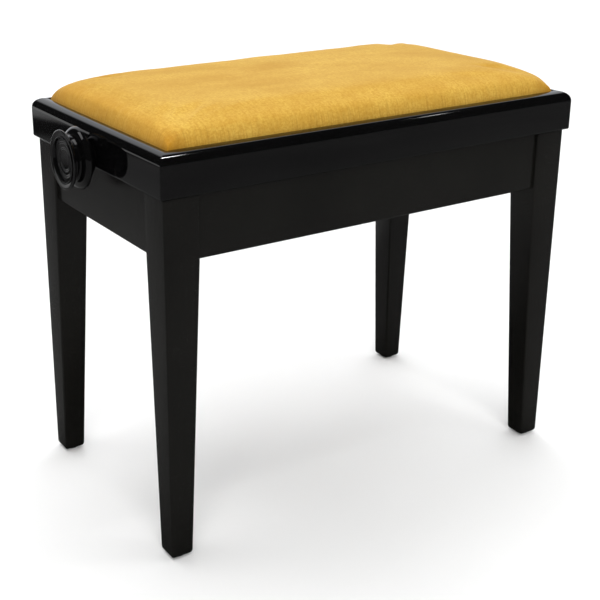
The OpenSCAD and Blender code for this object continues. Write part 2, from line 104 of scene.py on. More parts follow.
def tube(name, grid, smooth_below=32):
    """A closed piece from a (rows, columns, 3) grid of rings, with a flat cap on each end."""
    rows, columns = grid.shape[:2]
    faces = loop_faces(rows, columns)
    faces.append(list(range(columns)))
    faces.append(list(range((rows - 1) * columns, rows * columns)))
    return turn_outwards(add_object(name, grid.reshape(-1, 3), faces, smooth_below))


def ring_solid(name, grid, smooth_below=32):
    """A closed piece whose last ring joins its first, such as a bored turning."""
    rows, columns = grid.shape[:2]
    faces = (np.array(loop_faces(rows + 1, columns)) % (rows * columns)).tolist()
    return turn_outwards(add_object(name, grid.reshape(-1, 3), faces, smooth_below))


def finish_piece(obj, body, slot, *replaced, material):
    """Puts a finished piece on its body, gives it its material and hides the CAD nodes it stands for."""
    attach(obj, body)
    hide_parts(*replaced)
    obj.data.materials.clear()
    obj.data.materials.append(material)
    print(obj.name, len(obj.data.polygons), "faces")
    return obj


# %% [markdown]
# ## Shader sums as Python expressions
#
# A material is easier to read as an expression than as a list of nodes and links. The
# class below wraps one socket and turns +, - and * into Math nodes. One method makes
# any other node: its settings go in first, and then the values or links of its sockets.

# %% A small shader language
class Wire:
    """One output socket of a node tree, with arithmetic."""

    def __init__(self, tree, socket):
        self.tree, self.socket = tree, socket

    def _math(self, kind, a, b):
        return Finish.node(self.tree, "ShaderNodeMath", {"operation": kind}, {0: a, 1: b})

    def __add__(self, other):
        return self._math("ADD", self, other)

    def __rsub__(self, other):
        return self._math("SUBTRACT", other, self)

    def __mul__(self, other):
        return self._math("MULTIPLY", self, other)

    __radd__ = __add__
    __rmul__ = __mul__

    def size(self):
        return self._math("ABSOLUTE", self, 0.0)


class Finish:
    """A new node material with a Principled shader."""

    def __init__(self, name, **constants):
        self.material = bpy.data.materials.new(name)
        self.material.use_nodes = True
        self.tree = self.material.node_tree
        self.shader = self.tree.nodes["Principled BSDF"]
        for key, value in constants.items():
            self.shader.inputs[key.replace("_", " ")].default_value = value
        self.place = self.make("ShaderNodeTexCoord", {}, {}, "Object")

    @staticmethod
    def node(tree, kind, settings, inputs, output=0):
        """Makes one node. settings are set first, then each input gets a value or a link."""
        made = tree.nodes.new(kind)
        for key, value in settings.items():
            setattr(made, key, value)
        for key, value in inputs.items():
            if isinstance(value, Wire):
                tree.links.new(value.socket, made.inputs[key])
            else:
                made.inputs[key].default_value = value
        return Wire(tree, made.outputs[output])

    def make(self, kind, settings, inputs, output=0):
        return self.node(self.tree, kind, settings, inputs, output)

    def stretched(self, x, y, z):
        """Object position with each axis multiplied, so a pattern can be longer one way."""
        inputs = {0: self.place, 1: (x, y, z)}
        return self.make("ShaderNodeVectorMath", {"operation": "MULTIPLY"}, inputs)

    def noise(self, where, scale=1.0, detail=3.0, roughness=0.5, distortion=0.0):
        inputs = {"Vector": where, "Scale": scale, "Detail": detail}
        inputs |= {"Roughness": roughness, "Distortion": distortion}
        return self.make("ShaderNodeTexNoise", {}, inputs)

    def band(self, value, low, high, to_low=0.0, to_high=1.0):
        """Straight-line remap, held at both ends."""
        inputs = {"Value": value, "From Min": low, "From Max": high}
        inputs |= {"To Min": to_low, "To Max": to_high}
        return self.make("ShaderNodeMapRange", {"clamp": True}, inputs)

    def mix(self, amount, a, b):
        """Colour a where amount is 0 and b where it is 1. Each is a tuple or a link."""
        a, b = ((*colour, 1) if isinstance(colour, tuple) else colour for colour in (a, b))
        return self.make("ShaderNodeMix", {"data_type": "RGBA"}, {0: amount, 6: a, 7: b}, 2)

    def axes(self):
        """The three parts of the object position."""
        split = self.tree.nodes.new("ShaderNodeSeparateXYZ")
        self.tree.links.new(self.place.socket, split.inputs[0])
        return [Wire(self.tree, out) for out in split.outputs]

    def bump(self, height, strength, distance):
        inputs = {"Height": height, "Strength": strength, "Distance": distance}
        self.feed("Normal", self.make("ShaderNodeBump", {}, inputs))

    def feed(self, socket, value):
        self.tree.links.new(value.socket, self.shader.inputs[socket])


# %% [markdown]
# ## Black lacquer
#
# Piano lacquer is a thick, polished polyester coat. It is almost perfectly black, so all
# that shows is what it mirrors. Two small faults make it believable: the surface is not
# quite flat (orange peel), which bends long reflections, and fine dust and polishing
# haze change its roughness a little from place to place.

# %% Lacquer
def make_lacquer(name, haze, gloss, pale):
    """haze is the smoothest roughness, gloss the mirror strength, pale the lightest black."""
    finish = Finish(name, Specular_IOR_Level=gloss, IOR=1.5)
    cloud = finish.noise(finish.place, 9.0, 4.0, 0.55)
    dust = finish.noise(finish.place, 900.0, 2.0, 0.6)
    specks = finish.band(dust, 0.66, 0.78)
    peel = finish.noise(finish.place, 130.0, 2.0, 0.4)
    wave = finish.noise(finish.place, 22.0, 1.0, 0.4)
    tone = finish.band(cloud, 0.3, 0.7)
    base = finish.mix(tone, tuple(0.6 * k for k in pale), pale)
    finish.feed("Base Color", finish.mix(specks * 0.5, base, (0.028, 0.027, 0.025)))
    finish.feed("Roughness", finish.band(cloud, 0.25, 0.75, haze, haze + 0.06) + specks * 0.12)
    finish.bump(peel * 0.35 + wave, 0.5, 0.00008)
    return finish.material


polished = make_lacquer("polished_lacquer", 0.03, 0.5, (0.0022, 0.0022, 0.0023))
satin = make_lacquer("base_lacquer", 0.20, 0.40, (0.0068, 0.0065, 0.0054))
print("lacquer:", len(polished.node_tree.nodes), "nodes")


# %% [markdown]
# ## Gold velvet
#
# Velvet is a short upright pile. Seen along the pile it is deep and dark, seen across it
# it is pale, so a stroke of the hand leaves lighter and darker patches. The cover is
# pulled down over the pad's edge, which draws fine creases square to each side. The
# sheen of a Principled shader gives the pale bloom where the surface turns away.

# %% Velvet
VELVET_END, VELVET_SIDE = 0.264, 0.144


def make_velvet():
    """Worn patches, nap and grain over the whole pad, creases that fade out away from its
    sides, which lie VELVET_END and VELVET_SIDE from the middle, and painted shade in the
    creases and, deeper and darker, near both ends."""
    finish = Finish("gold_velvet", Sheen_Weight=0.25, Sheen_Roughness=0.4, Specular_IOR_Level=0.12)
    finish.shader.inputs["Sheen Tint"].default_value = (1.0, 0.86, 0.5, 1)
    x, y, _ = finish.axes()
    to_end = VELVET_END - x.size()
    to_side = VELVET_SIDE - y.size()
    near_end = finish.band(to_end, 0.0, 0.030, 1.0, 0.0)
    near_side = finish.band(to_side, 0.0, 0.034, 1.0, 0.0)
    stroke = finish.noise(finish.stretched(5.0, 8.0, 8.0), 1.0, 3.0, 0.55, 0.6)
    patch = finish.noise(finish.stretched(16.0, 30.0, 30.0), 1.0, 4.0, 0.6)
    pile = finish.noise(finish.place, 900.0, 3.0, 0.75)
    grain = finish.noise(finish.stretched(330.0, 420.0, 420.0), 1.0, 3.0, 0.7)
    nap = finish.noise(finish.stretched(520.0, 70.0, 70.0), 1.0, 2.0, 0.5)
    side_crease = finish.noise(finish.stretched(430.0, 22.0, 22.0), 1.0, 2.0, 0.55)
    end_crease = finish.noise(finish.stretched(22.0, 430.0, 22.0), 1.0, 2.0, 0.55)
    crease = side_crease * near_side + end_crease * near_end
    worn = finish.band(stroke * 0.6 + patch * 0.4, 0.36, 0.64)
    deep, pale = (0.480, 0.265, 0.034), (0.640, 0.415, 0.080)
    colour = finish.mix(worn, deep, pale)
    colour = finish.mix(finish.band(nap, 0.44, 0.66, 0.0, 0.30), colour, (0.42, 0.205, 0.022))
    colour = finish.mix(finish.band(grain, 0.42, 0.62, 0.0, 0.50), colour, (0.42, 0.195, 0.014))
    # painted shade: the creases are darkened in the colour, standing in for the shade in their folds
    shade = finish.band(crease, 0.45, 0.80, 0.0, 0.50)
    colour = finish.mix(shade, colour, (0.26, 0.110, 0.010))
    # painted shade: near both ends the colour turns deeper and darker, standing in for the shade on the pad's
    # end slopes
    low = finish.band(near_end, 0.2, 1.0, 0.0, 0.45)
    finish.feed("Base Color", finish.mix(low, colour, (0.52, 0.235, 0.012)))
    finish.feed("Roughness", finish.band(pile, 0.3, 0.7, 0.80, 0.96))
    finish.bump(pile * 0.25 + nap * 0.45 + crease * 1.2, 0.6, 0.0005)
    return finish.material


velvet = make_velvet()
print("velvet:", len(velvet.node_tree.nodes), "nodes")


# %% [markdown]
# ## Woods, steels and small materials
#
# The parts inside are plain stock: birch ply, beech, zinc-plated and painted steel, a
# little brass, nylon and felt. Each has the one mark that gives it away (grain, cloudy
# plating, brushed lines or fibre) at its real scale.

# %% Workshop materials
def make_wood(name, pale, dark, along=(6.0, 90.0, 90.0), roughness=0.62):
    """Grain is noise stretched along the board, with fine pores on top."""
    finish = Finish(name, Specular_IOR_Level=0.3)
    grain = finish.noise(finish.stretched(*along), 1.0, 5.0, 0.6, 1.4)
    pores = finish.noise(finish.stretched(*(8.0 * k for k in along)), 1.0, 2.0, 0.5)
    colour = finish.mix(finish.band(grain, 0.32, 0.68), pale, dark)
    darker = tuple(0.45 * k for k in dark)
    finish.feed("Base Color", finish.mix(finish.band(pores, 0.62, 0.75, 0.0, 0.7), colour, darker))
    finish.feed("Roughness", finish.band(grain, 0.3, 0.7, roughness, roughness + 0.14))
    finish.bump(grain * 0.5 + pores, 0.35, 0.0004)
    return finish.material


def make_metal(name, pale, dark, roughness, brushed=(40.0, 900.0, 900.0)):
    """Brushed lines from stretched noise, with a cloudy change of shine over them."""
    finish = Finish(name, Metallic=1.0)
    lines = finish.noise(finish.stretched(*brushed), 1.0, 2.0, 0.5)
    patches = finish.noise(finish.place, 60.0, 4.0, 0.6)
    finish.feed("Base Color", finish.mix(finish.band(patches, 0.3, 0.7), pale, dark))
    finish.feed("Roughness", finish.band(patches, 0.3, 0.7, roughness, roughness + 0.16))
    finish.bump(lines * 0.6 + patches * 0.4, 0.25, 0.0001)
    return finish.material


def make_paint(name, pale, dark, roughness):
    """Satin paint on steel: fine texture and rubbed, paler high spots."""
    finish = Finish(name, Specular_IOR_Level=0.4)
    texture = finish.noise(finish.place, 700.0, 3.0, 0.6)
    rubbed = finish.noise(finish.place, 45.0, 5.0, 0.65)
    finish.feed("Base Color", finish.mix(finish.band(rubbed, 0.55, 0.75), dark, pale))
    finish.feed("Roughness", finish.band(rubbed, 0.3, 0.7, roughness, roughness + 0.2))
    finish.bump(texture, 0.3, 0.0001)
    return finish.material


def make_soft(name, pale, dark, scale, depth, roughness=0.9):
    """Felt, foam or matt nylon: fibre or cells as fine noise in colour and height."""
    finish = Finish(name, Specular_IOR_Level=0.2)
    fibre = finish.noise(finish.place, scale, 4.0, 0.7)
    tone = finish.noise(finish.place, scale * 0.05, 3.0, 0.5)
    mixed = finish.band(fibre * 0.6 + tone * 0.4, 0.35, 0.65)
    finish.feed("Base Color", finish.mix(mixed, dark, pale))
    finish.feed("Roughness", finish.band(fibre, 0.3, 0.7, roughness - 0.12, roughness))
    finish.bump(fibre, 0.6, depth)
    return finish.material


plywood = make_wood("birch_ply", (0.66, 0.47, 0.29), (0.50, 0.33, 0.18), (5.0, 70.0, 420.0))
beech = make_wood("beech", (0.60, 0.38, 0.22), (0.44, 0.26, 0.14), (60.0, 60.0, 9.0))
zinc = make_metal("zinc_plate", (0.60, 0.60, 0.57), (0.44, 0.45, 0.44), 0.28)
round_the_rod = (900.0, 60.0, 60.0)
thread_steel = make_metal("spindle_steel", (0.58, 0.57, 0.55), (0.36, 0.36, 0.35), 0.24, round_the_rod)
oxide = make_metal("black_oxide", (0.10, 0.10, 0.11), (0.05, 0.05, 0.055), 0.38)
brass = make_metal("bush_brass", (0.78, 0.57, 0.24), (0.58, 0.40, 0.15), 0.25)
arm_paint = make_paint("arm_paint", (0.055, 0.055, 0.06), (0.018, 0.018, 0.02), 0.42)
nylon = make_soft("nylon", (0.82, 0.79, 0.70), (0.70, 0.66, 0.56), 900.0, 0.00005, 0.55)
glide_plastic = make_soft("glide_plastic", (0.05, 0.05, 0.05), (0.018, 0.018, 0.018), 700.0, 0.0001, 0.7)
felt = make_soft("felt", (0.060, 0.055, 0.050), (0.015, 0.014, 0.013), 1400.0, 0.0004)
foam = make_soft("foam", (0.80, 0.74, 0.55), (0.66, 0.58, 0.38), 700.0, 0.0005)

BY_SLOT = {
    "black_lacquer": polished,
    "gold_velvet": velvet,
    "foam": foam,
    "plywood": plywood,
    "beech": beech,
    "zinc_steel": zinc,
    "black_steel": arm_paint,
    "spring_steel": oxide,
    "brass": brass,
    "nylon": nylon,
    "glide_plastic": glide_plastic,
    "felt": felt,
}
for part in frame["record"]["subparts"]:
    obj = nodes[part["node"]]
    obj.data.materials.clear()
    obj.data.materials.append(BY_SLOT[part["material_slot"]])

# %% [markdown]
# ## Legs
#
# Each leg is square, 41 mm at the top. Below the rails its two inner faces taper to
# 26 mm at the foot while the two outer faces stay upright. Lacquered edges are never
# knife-sharp, because the coat is sanded through there: a small radius on every edge
# catches the thin bright line that tells the eye the leg is solid and polished.

# %% A rounded square and the legs
LEG_FOOT = 26 * MM


def rounded_box_ring(cx, cy, hx, hy, r, steps=6):
    """Rings of a rounded rectangle, one per row. A ring is four quarter circles: corner k
    turns from k to k + 1 quarter turns about a centre one radius in from both sides."""
    cx, cy, hx, hy, r = np.broadcast_arrays(cx, cy, hx, hy, r)
    turn = np.linspace(0, np.pi / 2, steps + 1)
    corner = np.repeat(np.arange(4), steps + 1)
    angle = corner * np.pi / 2 + np.tile(turn, 4)
    sx = np.array([1, -1, -1, 1])[corner]
    sy = np.array([1, 1, -1, -1])[corner]
    x = cx[:, None] + sx * (hx - r)[:, None] + r[:, None] * np.cos(angle)
    y = cy[:, None] + sy * (hy - r)[:, None] + r[:, None] * np.sin(angle)
    return x, y


def quarter_rows(height, radius, steps):
    """Heights and insets of a rounded edge: the inset is radius minus the circle's height."""
    t = np.linspace(0, np.pi / 2, steps + 1)
    return height * (1 - np.cos(t)), radius * (1 - np.sin(t))


rail_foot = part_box("rail_front")[0].z
for name in ("leg_front_left", "leg_front_right", "leg_rear_left", "leg_rear_right"):
    low, high = (np.array(v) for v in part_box(name))
    side = np.sign((low + high)[:2])
    outer = np.where(side > 0, high[:2], low[:2])
    top_size = (high - low)[0]
    up, inset = quarter_rows(5 * MM, 4 * MM, 6)
    over, top_inset = quarter_rows(1 * MM, 1 * MM, 3)
    mid = np.linspace(low[2] + 8 * MM, rail_foot - 2 * MM, 14)
    behind_rail = [rail_foot, rail_foot + 3 * MM, high[2] - 4 * MM]
    z = np.concatenate([low[2] + up, mid, behind_rail, high[2] - over[::-1]])
    pull = np.concatenate([inset, np.zeros(len(mid) + 3), top_inset[::-1]])
    share = np.clip((rail_foot - z) / (rail_foot - low[2]), 0, 1)
    size = top_size + (LEG_FOOT - top_size) * share
    half = size / 2 - pull
    middle = outer[None, :] - side[None, :] * size[:, None] / 2
    edge = np.maximum(2.2 * MM - 0.35 * pull, 0.5 * MM)
    x, y = rounded_box_ring(middle[:, 0], middle[:, 1], half, half, edge)
    grid = np.stack([x, y, np.broadcast_to(z[:, None], x.shape)], -1)
    leg = tube(name + "_turned_out", grid, 25)
    finish_piece(leg, "base", "black_lacquer", name, material=satin)

# %% [markdown]
# ## Rails
#
# The rails stand 4 mm back from the faces of the legs, so each joint shows a small step.
# Their lower edges are rounded by hand more than the legs are. A rail is one section
# carried along a straight line, and it runs a hair into each leg so no light gets through.

# %% A section along a line
def rounded_section(w, h, radii, steps=6):
    """A rectangle from (0, 0) to (w, h) whose corners, counted anticlockwise from the
    top right, each have their own radius."""
    corners = np.array([(w, h), (0, h), (0, 0), (w, 0)])
    inward = np.array([(-1, -1), (1, -1), (1, 1), (-1, 1)])
    turn = np.linspace(0, np.pi / 2, steps + 1)
    angle = np.arange(4)[:, None] * np.pi / 2 + turn
    r = np.asarray(radii, float)[:, None]
    centre = corners + inward * r
    return np.stack([centre[:, :1] + r * np.cos(angle), centre[:, 1:] + r * np.sin(angle)], -1).reshape(-1, 2)


def along_line(section, start, end, across):
    """Carries a section (distance across, height) from start to end. A point is one end
    of the line, plus across times the first number, plus up times the second."""
    way = np.stack([start, end])[:, None]
    return way + section[None, :, :1] * across + section[None, :, 1:] * np.array([0, 0, 1.0])


leg_in = np.array(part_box("leg_rear_right")[0])[:2]
INTO_LEG = 0.5 * MM
RAILS = {"rail_front": (0, -1), "rail_rear": (0, 1), "rail_left": (-1, 0), "rail_right": (1, 0)}
for name, direction in RAILS.items():
    low, high = (np.array(v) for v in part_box(name))
    facing = np.array([*direction, 0.0])
    is_long = direction[0] == 0
    across, lengthwise = (1, 0) if is_long else (0, 1)
    thick = (high - low)[across]
    reach = leg_in[lengthwise] + INTO_LEG
    run = np.eye(3)[lengthwise]
    face = high[across] if direction[across] > 0 else low[across]
    origin = np.abs(facing) * face + np.array([0, 0, low[2]])
    section = rounded_section(thick, high[2] - low[2], (1.0 * MM, 1.6 * MM, 3.6 * MM, 2.0 * MM))
    grid = along_line(section, origin - run * reach, origin + run * reach, -facing)
    finish_piece(tube(name + "_eased", grid), "base", "black_lacquer", name, material=satin)

# %% [markdown]
# ## Seat frame
#
# The four walls are moulded with a quarter-round on the outer top edge, mitred at the
# corners and lacquered as one. One section serves all four: where a point of the section
# lies at depth d from the outer face, the wall is 2 d shorter, which is just what a mitre
# is. The outermost 1.4 mm turns the corner on a small arc, so the corner has a highlight.

# %% The moulded walls
front_low, front_high = (np.array(v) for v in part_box("frame_front"))
WALL = front_high[1] - front_low[1]
HALF_L, HALF_W = front_high[0], -front_low[1]
FRAME_Z, RIM_Z = front_low[2], front_high[2]
ROUND = 12.5 * MM
board_low, board_high = (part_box("seat_board")[k].z for k in (0, 1))


def wall_profile():
    """Depth and height round the section: eased bottom edge, upright face, quarter-round,
    narrow flat, tiny inner arris, inner face with the groove for the seat board."""
    t = np.linspace(0, np.pi / 2, 7)
    ease = 2.2 * MM
    bottom = np.stack([ease * (1 - np.sin(t)), FRAME_Z + ease * (1 - np.cos(t))], -1)
    s = np.linspace(0, np.pi / 2, 21)
    crown = np.stack([ROUND * (1 - np.cos(s)), RIM_Z - ROUND * (1 - np.sin(s))], -1)
    a = 0.7 * MM
    arris = np.stack([WALL - a + a * np.sin(t), RIM_Z - a * (1 - np.cos(t))], -1)
    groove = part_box("seat_board")[1].x - (HALF_L - WALL) + 0.2 * MM
    inner = np.array([
        [WALL, board_high], [WALL - groove, board_high],
        [WALL - groove, board_low], [WALL, board_low],
        [WALL, FRAME_Z + 0.5 * MM], [WALL - 0.5 * MM, FRAME_Z],
    ])
    return np.concatenate([bottom, crown, arris, inner])


def mitred_wall(name, half_run, half_across, axis, sign):
    """Rings from one mitre to the other. At depth d the ring nearest a corner lies on the
    45 degree plane; a corner radius r of outer points adds an eighth of a circle."""
    profile = wall_profile()
    d, z = profile[:, 0], profile[:, 1]
    r = np.maximum(1.4 * MM - d, 0.0)
    eighth = np.linspace(np.pi / 4, 0, 6)
    run_end = half_run - d - r + r * np.sin(eighth)[:, None]
    across_end = half_across - d - r + r * np.cos(eighth)[:, None]
    run = np.concatenate([run_end, -run_end[::-1]])
    across = np.concatenate([across_end, across_end[::-1]])
    height = np.broadcast_to(z, run.shape)
    order = (run, sign * across, height) if axis == "x" else (sign * across, run, height)
    return tube(name, np.stack(order, -1), 28)


for name, half_run, half_across, axis, sign in (
    ("frame_front", HALF_L, HALF_W, "x", -1),
    ("frame_rear", HALF_L, HALF_W, "x", 1),
    ("frame_left", HALF_W, HALF_L, "y", -1),
    ("frame_right", HALF_W, HALF_L, "y", 1),
):
    wall = mitred_wall(name + "_moulded", half_run, half_across, axis, sign)
    finish_piece(wall, "seat", "black_lacquer", name, material=polished)

# %% [markdown]
# ## Knobs
#
# A knob is a turning, so it is a profile spun about the spindle's line: a full rounded
# flange at the back, a deep cove for the fingers, and a front disc with a raised rim and
# a dished centre. The profile is a list of arcs and lines, sampled as arrays.

# %% Turned knobs
SPINDLE_Z = float(sum(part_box("spindle")[k].z for k in (0, 1)) / 2)
knob_low, knob_high = (np.array(v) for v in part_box("knob_right"))
KNOB_L = knob_high[0] - knob_low[0]
KNOB_R = (knob_high[2] - knob_low[2]) / 2


def arc(centre, radii, start, stop, steps):
    """Points on an ellipse from angle start to stop, in degrees; 0 is outward, 90 is forward."""
    t = np.radians(np.linspace(start, stop, steps + 1))
    return np.stack([centre[0] + radii[1] * np.sin(t), centre[1] + radii[0] * np.cos(t)], -1)


def knob_profile():
    """Distance from the back and radius, in metres, from the bore round to the bore."""
    mm = lambda *pairs: np.array(pairs, float) * MM
    full = KNOB_R / MM
    long = KNOB_L / MM
    parts = [
        mm((0.6, 5.3), (0.4, 14.0), (0.6, 19.0), (3.0, 21.5), (6.4, 23.0)),
        arc((11.6 * MM, (full - 7.4) * MM), (3.0 * MM, 6.0 * MM), -78, -6, 9),
        arc((11.6 * MM, (full - 9.6) * MM), (11.2 * MM, 8.2 * MM), 0, 78, 20),
        arc((25.2 * MM, (full - 7.6) * MM), (-2.3 * MM, -3.4 * MM), -64, 64, 12)[::-1],
        arc(((long - 1.4) * MM, (full - 1.4) * MM), (1.4 * MM, 1.4 * MM), -80, 90, 8),
        mm((long - 0.15, full - 2.4), (long - 0.5, full - 4.6), (long - 0.9, full - 6.2)),
        arc(((long - 0.9) * MM, (full - 7.6) * MM), (0.7 * MM, 0.9 * MM), -20, 165, 8),
        mm((long - 3.3, full - 8.9), (long - 3.9, full - 14.0), (long - 4.6, full - 20.0), (long - 4.9, 5.3)),
    ]
    return np.concatenate(parts)


def spun(name, profile, sign, columns=96):
    """Spins (distance, radius) about the spindle: y is radius times the sine and z the
    spindle's height plus radius times the cosine of the turn."""
    turn = np.linspace(0, 2 * np.pi, columns, endpoint=False)
    x = sign * (knob_low[0] + profile[:, 0])[:, None] + 0 * turn
    y = profile[:, 1][:, None] * np.sin(turn)
    z = SPINDLE_Z + profile[:, 1][:, None] * np.cos(turn)
    return ring_solid(name, np.stack([x, y, z], -1), 40)


def cap_profile():
    """A shallow dish with a few fine turned rings, closed by a small flat at the middle."""
    face = KNOB_L / MM
    edge = 22.6
    r = np.linspace(edge, 0.4, 72)
    dish = face - 2.6 - 1.3 * (1 - (r / edge) ** 2)
    beads = sum(0.22 * np.exp(-(((r - ring) / 0.5) ** 2)) for ring in (19.5, 17.5, 13.0, 11.2))
    front = np.stack([(dish + beads) * MM, r * MM], -1)
    back = np.array([(face - 4.6, 0.4), (face - 4.6, edge)]) * MM
    return np.concatenate([front, back])


for side, sign in (("left", -1), ("right", 1)):
    knob = spun("knob_" + side + "_turned", knob_profile(), sign)
    finish_piece(knob, "spindle", "black_lacquer", "knob_" + side, material=polished)
    cap = spun("knob_cap_" + side + "_dished", cap_profile(), sign)
    finish_piece(cap, "spindle", "black_lacquer", "knob_cap_" + side, material=polished)

# %% [markdown]
# ## Spindle
#
# The spindle is hidden until the seat is raised, and then it is the first thing seen
# between frame and base, so it gets a real thread. A thread is a tube whose radius
# depends on how far along and how far round a point is: the two together give the place
# within one pitch, and a flattened triangle wave of that place is the thread's depth.

# %% A threaded spindle
collar_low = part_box("thrust_collars")[0].x
THREAD_HALF = -collar_low - 10 * MM
spindle_low, spindle_high = (np.array(v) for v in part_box("spindle"))
THREAD_R = (spindle_high[2] - spindle_low[2]) / 2
THREAD_PITCH = 4 * MM


def spindle_grid(columns=20, per_turn=8):
    """Rows along X. Radius is the full one less depth times a wave clipped at both ends,
    fading out over the last turn; plain ends and chamfers are extra rows."""
    turn = np.linspace(0, 2 * np.pi, columns, endpoint=False)
    x = np.arange(-THREAD_HALF, THREAD_HALF, THREAD_PITCH / per_turn)
    phase = x[:, None] / THREAD_PITCH - turn / (2 * np.pi)
    wave = np.abs(2 * (phase - np.floor(phase)) - 1)
    depth = np.clip(wave * 1.5 - 0.25, 0, 1) * 1.5 * MM
    fade = np.clip((THREAD_HALF - np.abs(x)) / THREAD_PITCH, 0, 1)[:, None]
    radius = THREAD_R - depth * fade
    end = spindle_high[0]
    end_x = np.array([end, end - 1 * MM, THREAD_HALF + 1.0 * MM, THREAD_HALF + 0.2 * MM])
    end_r = np.array([4.2, 4.95, 4.95, 5.0])[:, None] * MM + 0 * turn
    all_x = np.concatenate([-end_x, x, end_x[::-1]])[:, None] + 0 * turn
    all_r = np.concatenate([end_r, radius, end_r[::-1]])
    return np.stack([all_x, all_r * np.sin(turn), SPINDLE_Z + all_r * np.cos(turn)], -1)


spindle = tube("spindle_threaded", spindle_grid(), 50)
finish_piece(spindle, "spindle", "zinc_steel", "spindle", material=thread_steel)

# %% [markdown]
# ## The pad
#
# The pad is foam on a board, covered in velvet that is pulled down and stapled under the
# board. So its foot is a crisp rectangle, its sides rise almost upright out of the frame
# and its top is one broad crown. It starts as a formula, slightly slack, and then a short
# cloth simulation with air pressure inside lets the cover find its own fullness.

# %% The pad's starting shape
pad_low, pad_high = (np.array(v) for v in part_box("pad_cover"))
PAD_X, PAD_Y = pad_high[0] + 0.4 * MM, pad_high[1] + 0.4 * MM
PAD_FOOT = pad_low[2]
PAD_EDGE = RIM_Z + 0.5 * MM
PAD_CROWN = pad_high[2] - PAD_EDGE


def crown_height(u, v, crown):
    """Crown over the edge: (1 - |u|^14) (1 - |v|^7) to a small power, so the sides rise
    steeply and the middle is broad, with a slight dome over the whole of it. The power
    grows in the corners, where the cover is folded down and comes to a low point."""
    near_u, near_v = np.abs(u) ** 14, np.abs(v) ** 7
    shoulder = np.clip((1 - near_u) * (1 - near_v), 0, 1) ** (0.31 + 0.14 * near_u * near_v)
    dome = (1 - u**2) * (1 - v**2)
    return crown * (0.865 * shoulder + 0.035 * dome)


def pad_points(nu=124, nv=76):
    """Top grid, gathered towards the sides, then the upright sides and the flat foot."""
    gather = lambda t: 0.55 * np.sin(np.pi / 2 * t) + 0.45 * t
    u, v = gather(np.linspace(-1, 1, nu)), gather(np.linspace(-1, 1, nv))
    uu, vv = np.meshgrid(u, v, indexing="ij")
    z = PAD_EDGE + crown_height(uu, vv, PAD_CROWN)
    top = np.stack([uu * PAD_X, vv * PAD_Y, z], -1)
    foot = np.stack([uu * PAD_X, vv * PAD_Y, np.full_like(z, PAD_FOOT)], -1)
    return top, foot


def closed_block(name, top, foot):
    """Joins a top grid to a foot grid of the same shape by a wall round both rims."""
    nu, nv = top.shape[:2]
    i, j = (a.ravel() for a in np.meshgrid(np.arange(nu - 1), np.arange(nv - 1), indexing="ij"))
    a = i * nv + j
    skin = np.stack([a, a + nv, a + nv + 1, a + 1], -1)
    under = (skin + nu * nv)[:, ::-1]
    near, far = np.arange(nu) * nv, np.arange(nu - 2, -1, -1) * nv + nv - 1
    right_end, left_end = (nu - 1) * nv + np.arange(1, nv), np.arange(nv - 2, 0, -1)
    rim = np.concatenate([near, right_end, far, left_end])
    after = np.roll(rim, -1)
    wall = np.stack([rim, rim + nu * nv, after + nu * nv, after], -1)
    faces = np.concatenate([skin, under, wall]).tolist()
    points = np.concatenate([top.reshape(-1, 3), foot.reshape(-1, 3)])
    return turn_outwards(add_object(name, points, faces, 180))


pad = closed_block("pad_velvet", *pad_points())
print("pad starts with", len(pad.data.vertices), "points, crown", round(PAD_CROWN * 1000, 1), "mm")


# %% Fill it with a cloth simulation
def coordinates(obj):
    co = np.zeros(len(obj.data.vertices) * 3)
    obj.data.vertices.foreach_get("co", co)
    return co.reshape(-1, 3)


def apply_modifiers(obj):
    """Replaces the object's mesh with its finished, modified mesh."""
    graph = bpy.context.evaluated_depsgraph_get()
    made = bpy.data.meshes.new_from_object(obj.evaluated_get(graph))
    obj.modifiers.clear()
    obj.data = made


def inflate(obj, pressure=4.0, frames=20, most=2.5 * MM):
    """Cloth with pressure inside and its foot held. Each point may move at most a little,
    so the cover keeps its place in the frame."""
    start = coordinates(obj)
    held = obj.vertex_groups.new(name="held")
    grip = np.clip((RIM_Z + 1.5 * MM - start[:, 2]) / (3 * MM), 0, 1)
    for level in np.unique(np.round(grip, 1)):
        members = np.flatnonzero(np.round(grip, 1) == level)
        held.add(members.tolist(), float(level), "REPLACE")
    cloth = obj.modifiers.new("cover", "CLOTH")
    settings = cloth.settings
    settings.quality, settings.mass = 6, 0.3
    settings.tension_stiffness = settings.compression_stiffness = 18
    settings.bending_stiffness = 2.0
    settings.use_pressure, settings.uniform_pressure_force = True, pressure
    settings.vertex_group_mass = "held"
    settings.effector_weights.gravity = 0.0
    cloth.collision_settings.use_collision = False
    scene = bpy.context.scene
    for step in range(1, frames + 1):
        scene.frame_set(step)
    apply_modifiers(obj)
    moved = coordinates(obj) - start
    length = np.linalg.norm(moved, axis=1, keepdims=True)
    capped = start + moved * np.minimum(1, most / np.maximum(length, 1e-9))
    obj.data.vertices.foreach_set("co", capped.ravel())
    obj.data.update()
    scene.frame_set(1)
    print("cloth moved", round(float(length.mean()) * 1000, 2), "mm on average, capped at", most * 1000)


inflate(pad)
print("pad now", len(pad.data.vertices), "points")

# %% [markdown]
# ### Creases square to the sides
#
# Pulling the cover down gathers it a little, so its edge is not a ruled line. The creases
# are longest at the middle of a side's height and die away on the crown, and the cover's
# hand-smoothed top is not perfectly even either.

# %% Sag, creases and finishing the pad
def waves(t, seed, count, shortest, longest):
    """A sum of sines with fixed random lengths and phases: a smooth, repeatable wander."""
    rng = np.random.default_rng(seed)
    length = rng.uniform(shortest, longest, count)
    phase = rng.uniform(0, 2 * np.pi, count)
    return np.sin(2 * np.pi * t[:, None] / length + phase).sum(1) / np.sqrt(count)


